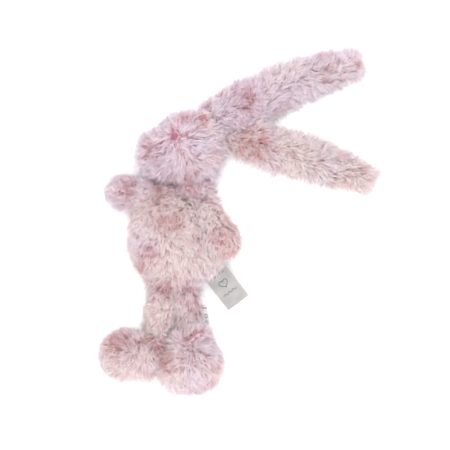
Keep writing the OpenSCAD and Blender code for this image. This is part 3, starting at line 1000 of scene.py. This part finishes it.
care_low, care_high = corners("care_label")
care_foot = pivot["care_label_flap"]
tag_bare = near_any(*[(Vector((care_foot.x + 0.003, y, care_foot.z + 0.004)), 8)
                      for y in np.linspace(care_low.y + 0.002, care_high.y - 0.002, 4)])
for side, line, skin, seed in (("right", leg_right_line, leg_right_skin, 10),
                               ("left", leg_left_line, leg_left_skin, 11)):
    over = over_line(line)
    foot = foot_right_eggs if side == "right" else foot_left_eggs
    dress(f"leg_{side}", skin, [
        (f"leg_{side}_front", lambda p: over(p) > 0, [f"leg_{side}_front"]),
        (f"leg_{side}_back", lambda p: over(p) <= 0, [f"leg_{side}_back"]),
    ], along_line(line, 0.35), [f"leg_{side}_stuffing"], f"leg_{side}_wadding", 0.65,
        bare=either(joined_at(line[0], 14, torso_eggs), joined_at(line[1], 12, foot), tag_bare),
        mat=pile_warm, seed=seed, long=12)

dress("foot_right", foot_right_skin, [
    ("foot_right_upper", lambda p: foot_right_across(p) <= 0, ["foot_right_upper"]),
    ("foot_right_sole", lambda p: foot_right_across(p) > 0, ["foot_right_sole"]),
], away_from(toe_right + mm(30, 26, 16), (-0.1, -0.1, 0)), ["foot_right_stuffing"], "foot_right_wadding",
    0.75, bare=joined_at(pivot["ankle_right"], 9, leg_right_eggs), mat=pile_warm, seed=12)
dress("foot_left", foot_left_skin, [
    ("foot_left_upper", lambda p: foot_left_across(p) > 0, ["foot_left_upper"]),
    ("foot_left_sole", lambda p: foot_left_across(p) <= 0, ["foot_left_sole"]),
], away_from(foot_left_mid + mm(-3, 34, 18), (0, -0.1, 0)), ["foot_left_stuffing"], "foot_left_wadding",
    0.75, bare=either(joined_at(pivot["ankle_left"], 9, leg_left_eggs), tag_bare), mat=pile_warm, seed=13)


# ---------- embroidery ----------

def thread_along(name, points, radius, mat, sides=2):
    """A round thread laid through the points, in metres."""
    curve = bpy.data.curves.new(name, "CURVE")
    curve.dimensions = "3D"
    curve.bevel_depth = radius * MM
    curve.bevel_resolution = sides
    curve.use_fill_caps = True
    line = curve.splines.new("POLY")
    line.points.add(len(points) - 1)
    for p, at in zip(line.points, points):
        p.co = (*at, 1)
    obj = bpy.data.objects.new(name, curve)
    bpy.context.scene.collection.objects.link(obj)
    only(obj)
    bpy.ops.object.convert(target="MESH")
    obj = bpy.context.object
    bpy.ops.object.shade_smooth()
    return coat(obj, mat)


def satin_patch(name, at, out, turn, half, rise, rows, mat):
    """A raised patch of satin stitch: threads side by side over a small dome."""
    out = Vector(out).normalized()
    first = out.cross(Vector((0, 0, 1)))
    first = first.normalized() if first.length > 0.1 else Vector((1, 0, 0))
    second = out.cross(first).normalized()
    a = first * math.cos(turn) + second * math.sin(turn)
    b = out.cross(a).normalized()
    threads = []
    for i in range(rows):
        x = -1 + 2 * (i + 0.5) / rows
        reach = math.sqrt(1 - x * x) * (0.92 + 0.08 * math.sin(5.1 * i))
        pts = []
        for k in range(9):
            y = reach * (-1 + 2 * k / 8)
            z = rise * math.sqrt(max(0.0, 1 - min(1.0, x * x * 0.8 + y * y)))
            pts.append(Vector(at) + a * (x * half * MM) + b * (y * half * MM) + out * ((z - 0.5) * MM))
        threads.append(thread_along(f"{name}_{i}", pts, half / rows * 1.12, mat))
    return join_all(name, threads)


nose = satin_patch("nose_satin", nose_spot + nose_out * 2.6 * MM, nose_out, 0.5, 3.6, 2.4, 13, magenta_thread)
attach(nose, "head")
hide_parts("nose_embroidery")
for side, at, out in (("right", eye_right_spot, eye_right_out), ("left", eye_left_spot, eye_left_out)):
    eye = satin_patch(f"eye_{side}_satin", at + out * 4.2 * MM, out, 1.1, 3.1, 2.2, 11, dull_thread)
    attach(eye, "head")
    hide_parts(f"eye_{side}_embroidery")


# ---------- the closing seam under the body ----------

low, high = corners("closing_stitches")
ladder = []
for i in range(4):
    y = high.y + (low.y - high.y) * (i + 0.5) / 4
    z = low.z + (high.z - low.z) * (i + 0.5) / 4
    for ply in range(2):
        pts = []
        for k in range(25):
            s = k / 24
            turn = s * 8 * math.pi + ply * math.pi
            pts.append(Vector((low.x + (high.x - low.x) * s,
                               y + 0.0006 * (s - 0.5) + 0.00022 * math.cos(turn),
                               max(z + 0.00022 * math.sin(turn), 0.0007))))
        ladder.append(thread_along(f"stitch_{i}_{ply}", pts, 0.24, sewing_thread, 1))
ladder = join_all("closing_ladder_stitches", ladder)
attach(ladder, "torso")
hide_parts("closing_stitches")


# ---------- the two labels ----------

def folded_tape(name, start, along, across, width, length, sag, floor, thick, gap, mat, rows):
    """A tape folded double: out from the seam, round its end and back under itself."""
    along, across = Vector(along).normalized(), Vector(across).normalized()
    out = upward(along.cross(across).normalized())
    path = []
    half = gap / 2

    def height(s):
        u = s / length
        return -sag * math.sin(math.pi * min(1, u * 1.05)) * (1 - 0.4 * u)

    for i in range(rows + 1):
        s = length * i / rows
        path.append((s, height(s) + half))
    for i in range(1, 6):
        turn = math.pi * i / 6
        path.append((length + half * math.sin(turn), height(length) + half * math.cos(turn)))
    for i in range(rows + 1):
        s = length * (1 - i / rows)
        path.append((s, height(s) - half))
    cols = 8
    bpy.ops.object.select_all(action="DESELECT")
    bpy.ops.mesh.primitive_grid_add(x_subdivisions=cols, y_subdivisions=len(path) - 1, size=1)
    tape = bpy.context.object
    tape.name = name
    co = points_of(tape)
    xs = np.round((co[:, 0] + 0.5) * cols).astype(int)
    ys = np.round((co[:, 1] + 0.5) * (len(path) - 1)).astype(int)
    new = np.empty_like(co)
    for i, (x, y) in enumerate(zip(xs, ys)):
        s, h = path[y]
        w = (x / cols - 0.5) * width
        ripple = 0.35 * math.sin(2.2 * math.pi * s / length) * (w / width)
        p = Vector(start) + along * s * MM + across * w * MM + out * (h + ripple) * MM
        p.z = max(p.z, (floor + (half if y <= rows else -half)) * MM)
        new[i] = p
    move_points(tape, new)
    only(tape)
    reshape(tape, "thick", "SOLIDIFY", thickness=thick * MM, offset=0)
    bpy.ops.object.mode_set(mode="EDIT")
    bpy.ops.mesh.select_all(action="SELECT")
    bpy.ops.mesh.normals_make_consistent(inside=False)
    bpy.ops.object.mode_set(mode="OBJECT")
    bpy.ops.object.shade_smooth_by_angle(angle=math.radians(50))
    return coat(tape, mat), path


def height_on(path, rows, s):
    """The height of a tape's upper layer at s millimetres along it."""
    return min(path[:rows + 1], key=lambda step: abs(step[0] - s))[1]


ribbon_wide, ribbon_long, ribbon_rows = 26, 52, 26
ribbon_root = pivot["brand_label_flap"]
ribbon_across = Vector((0.79864, 0.60182, 0))
ribbon_flat = Vector((ribbon_across.y, -ribbon_across.x, 0))
ribbon_drop = math.asin((ribbon_root.z - 0.0028) / 0.052)
ribbon_along = ribbon_flat * math.cos(ribbon_drop) - Vector((0, 0, 1)) * math.sin(ribbon_drop)
ribbon_start = ribbon_root - ribbon_along * 0.002
ribbon, ribbon_path = folded_tape("ribbon_label", ribbon_start, ribbon_along, ribbon_across,
                                  ribbon_wide, ribbon_long, 2.2, 1.0, 0.22, 0.5, ribbon_grey,
                                  ribbon_rows)
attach(ribbon, "brand_label")
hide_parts("brand_label")
ribbon_out = upward(ribbon_along.cross(ribbon_across).normalized())


def on_ribbon(s, w, up=0.18):
    """A point on the ribbon's upper face: s along it and w across it, in millimetres."""
    h = height_on(ribbon_path, ribbon_rows, s)
    ripple = 0.35 * math.sin(2.2 * math.pi * s / ribbon_long) * (w / ribbon_wide)
    p = ribbon_start + ribbon_along * s * MM + ribbon_across * w * MM
    p += ribbon_out * (h + ripple) * MM
    p.z = max(p.z, 0.00125)
    return p + ribbon_out * up * MM


heart = []
for t in np.linspace(0, 2 * math.pi, 41):
    tall = 13 * math.cos(t) - 5 * math.cos(2 * t) - 2 * math.cos(3 * t) - math.cos(4 * t)
    heart.append(on_ribbon(26 - 0.30 * tall, 0.30 * 16 * math.sin(t) ** 3))
motif = [thread_along("heart", heart, 0.34, grey_print, 1)]
for s0, size in ((14.5, 0.8), (37.5, 1.0)):
    wave = [on_ribbon(s0 + size * math.sin(w * 1.1), w * 0.85) for w in np.linspace(-9, 9, 45)]
    motif.append(thread_along("wave", wave, 0.30, grey_print, 1))
for w0 in (-12.1, 12.1):
    for k in range(15):
        s0 = 3 + 3.3 * k
        stitch = [on_ribbon(s0, w0), on_ribbon(s0 + 1.0, w0, 0.26), on_ribbon(s0 + 2.0, w0)]
        motif.append(thread_along("edge", stitch, 0.16, sewing_thread, 1))
motif = join_all("ribbon_label_heart_and_waves", motif)
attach(motif, "brand_label")

care_rows = 10
care_root = pivot["care_label_flap"]
low, high = corners("care_label")
care_across = Vector((0.12187, -0.99255, 0))
care_flat = Vector((0.99255, 0.12187, 0))
care_up = math.atan2(high.z - low.z, high.x - low.x)
care_along = care_flat * math.cos(care_up) + Vector((0, 0, 1)) * math.sin(care_up)
care_start = care_root - care_along * 0.001
care, care_path = folded_tape("care_tag", care_start, care_along, care_across, 20, 13.5, 0.6, 0, 0.2,
                              0.45, tape_white, care_rows)
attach(care, "care_label")
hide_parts("care_label")
care_out = upward(care_along.cross(care_across).normalized())


def on_care(s, w):
    """A point on the care tag's upper face: s along it and w across it, in millimetres."""
    h = height_on(care_path, care_rows, s) + 0.2
    return care_start + care_along * s * MM + care_across * w * MM + care_out * h * MM


signs = [thread_along("bar", [on_care(s, -6.5) for s in np.linspace(4, 11.5, 8)], 0.42, dark_print, 1),
         thread_along("ring", [on_care(8 + 2.0 * math.cos(t), 1.5 + 2.0 * math.sin(t))
                               for t in np.linspace(0, 2 * math.pi, 25)], 0.26, dark_print, 1),
         thread_along("line", [on_care(8 + 1.2 * u, 6.8) for u in np.linspace(-2, 2, 6)], 0.22, dark_print, 1)]
signs = join_all("care_tag_signs", signs)
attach(signs, "care_label")


# ---------- floor, light and camera ----------

view_x, view_y = 0.047, 0.013
view_wide = 0.450
bpy.ops.object.select_all(action="DESELECT")
bpy.ops.mesh.primitive_plane_add(size=6, location=(view_x, view_y, 0))
floor = bpy.context.object
floor.name = "pale_floor"
mat, nodes, links, surface = new_material("pale_floor")
surface.inputs["Base Color"].default_value = (0.9, 0.9, 0.9, 1)
surface.inputs["Roughness"].default_value = 0.9
surface.inputs["Emission Color"].default_value = (1, 1, 1, 1)
surface.inputs["Emission Strength"].default_value = 0.22
coat(floor, mat)

world = bpy.data.worlds.new("soft_room")
bpy.context.scene.world = world
world.use_nodes = True
world.node_tree.nodes["Background"].inputs["Color"].default_value = (0.97, 0.98, 1.0, 1)
world.node_tree.nodes["Background"].inputs["Strength"].default_value = 0.96


def soft_light(name, at, size, power, colour):
    light = bpy.data.lights.new(name, "AREA")
    light.shape = "DISK"
    light.size = size
    light.energy = power
    light.color = colour
    obj = bpy.data.objects.new(name, light)
    bpy.context.scene.collection.objects.link(obj)
    obj.location = at
    obj.rotation_mode = "QUATERNION"
    obj.rotation_quaternion = (Vector((0.05, 0.01, 0.02)) - Vector(at)).to_track_quat("-Z", "Y")


soft_light("top_softbox", (0.10, 0.55, 1.25), 0.9, 14, (0.98, 0.98, 1.0))
soft_light("front_fill", (0.0, -0.8, 0.9), 0.9, 9, (0.99, 0.98, 0.97))

cam = bpy.data.cameras.new("camera")
cam.lens = 90
cam.sensor_width = 36
cam_obj = bpy.data.objects.new("camera", cam)
bpy.context.scene.collection.objects.link(cam_obj)
cam_obj.location = (view_x, view_y, 0.025 + view_wide * cam.lens / cam.sensor_width)
cam.clip_start, cam.clip_end = 0.01, 20
bpy.context.scene.camera = cam_obj
bpy.context.scene.view_settings.view_transform = "Standard"
